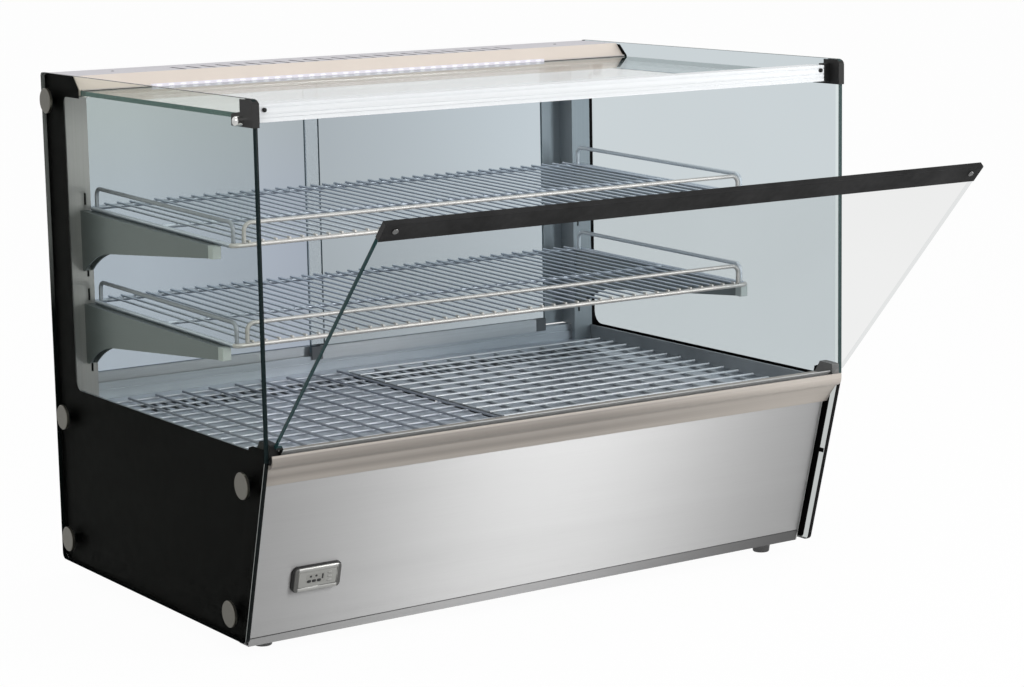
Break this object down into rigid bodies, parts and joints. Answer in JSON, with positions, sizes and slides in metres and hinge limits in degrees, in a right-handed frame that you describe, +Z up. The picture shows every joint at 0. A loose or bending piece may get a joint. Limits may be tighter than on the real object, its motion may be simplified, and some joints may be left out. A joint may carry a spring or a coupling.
{
  "type": "heated display case",
  "caption": "Countertop heated glass display case with a tilting front glass, wire shelves on slotted posts, sliding rear doors and a raked steel base with heater, fan and controller.",
  "frame": {"origin": "middle of the footprint on the worktop, level with the underside of the feet", "axes": "+X to the right as seen by the customer, +Y towards the rear doors, +Z up"},
  "size_m": [0.896, 0.879, 0.68],
  "materials": {
    "clear_glass": "clear float glass with green edges",
    "black_print": "black print on glass",
    "cap_metal": "satin turned metal",
    "black_plastic": "matte black",
    "black_sheet": "black powder coat",
    "steel": "brushed stainless steel",
    "bright_steel": "polished stainless steel",
    "arm_steel": "satin stainless steel",
    "wire": "chromed steel wire",
    "grey_plastic": "satin grey",
    "dark_sheet": "dark grey sheet",
    "rubber": "black rubber",
    "cream_sheet": "cream white powder coat",
    "alu": "anodised aluminium",
    "chrome": "bright chrome",
    "lamp": "white diffuser",
    "display": "dark display window",
    "keypad": "grey membrane",
    "heater": "heat-tinted steel"
  },
  "bodies": {
    "case": {"base_pan": "black_sheet", "front_panel": "steel", "rear_panel": "steel", "deck": "steel", "side_trims": "dark_sheet", "front_lip": "steel", "rear_sill": "alu", "post_left": "bright_steel", "post_right": "bright_steel", "bracket_upper_left": "arm_steel", "bracket_upper_right": "arm_steel", "bracket_lower_left": "arm_steel", "bracket_lower_right": "arm_steel", "bracket_caps": "grey_plastic", "side_glass_left": "clear_glass", "side_glass_right": "clear_glass", "print_left": "black_print", "print_right": "black_print", "standoff_caps": "cap_metal", "standoff_spacers": "black_plastic", "top_glass": "clear_glass", "top_rail": "alu", "rail_bumpers": "rubber", "corner_bracket_left": "black_plastic", "corner_bracket_right": "black_plastic", "corner_screws": "chrome", "top_housing": "cream_sheet", "housing_base": "steel", "housing_seal": "rubber", "led_strip": "lamp", "led_driver": "black_plastic", "hinge_blocks": "black_plastic", "controller_bezel": "black_plastic", "controller_body": "keypad", "controller_display": "display", "heater_element": "heater", "fan_frame": "black_plastic", "terminal_block": "grey_plastic", "cable_gland": "black_plastic", "switch_body": "black_plastic", "feet": "rubber"},
    "front_door": {"front_glass": "clear_glass", "glass_handle": "black_plastic", "handle_screws": "chrome", "hinge_rail": "alu", "hinge_pins": "chrome"},
    "rear_door_left": {"door_left_glass": "clear_glass", "door_left_rail": "alu", "door_left_caps": "black_plastic"},
    "rear_door_right": {"door_right_glass": "clear_glass", "door_right_rail": "alu", "door_right_caps": "black_plastic"},
    "fan": {"fan_rotor": "black_plastic"},
    "rocker": {"switch_rocker": "black_plastic"},
    "shelf_upper": {"upper_shelf": "wire", "upper_fences": "wire"},
    "shelf_lower": {"lower_shelf": "wire", "lower_fences": "wire"},
    "floor_grid_left": {"grid_left": "wire"},
    "floor_grid_right": {"grid_right": "wire"}
  },
  "joints": [
    {"name": "front_door_hinge", "type": "hinge", "parent": "case", "child": "front_door", "pos_m": [0, -0.295, 0.26], "axis": [-1, 0, 0], "range_deg": [0, 43.3]},
    {"name": "rear_door_left_slide", "type": "slide", "parent": "case", "child": "rear_door_left", "axis": [1, 0, 0], "range_m": [0, 0.41]},
    {"name": "rear_door_right_slide", "type": "slide", "parent": "case", "child": "rear_door_right", "axis": [1, 0, 0], "range_m": [-0.368, 0.044]},
    {"name": "fan_spin", "type": "hinge", "parent": "case", "child": "fan", "pos_m": [0, 0.175, 0.222], "axis": [0, 0, 1], "continuous": true},
    {"name": "rocker_tilt", "type": "hinge", "parent": "case", "child": "rocker", "pos_m": [-0.25, 0.288, 0.07], "axis": [0, 0, 1], "range_deg": [0, 16]},
    {"name": "shelf_upper_lift", "type": "slide", "parent": "case", "child": "shelf_upper", "axis": [0, 0, 1], "range_m": [0, 0.1]},
    {"name": "shelf_lower_lift", "type": "slide", "parent": "case", "child": "shelf_lower", "axis": [0, 0, 1], "range_m": [0, 0.01]},
    {"name": "floor_grid_left_lift", "type": "slide", "parent": "case", "child": "floor_grid_left", "axis": [0, 0, 1], "range_m": [0, 0.035]},
    {"name": "floor_grid_right_lift", "type": "slide", "parent": "case", "child": "floor_grid_right", "axis": [0, 0, 1], "range_m": [0, 0.035]}
  ]
}
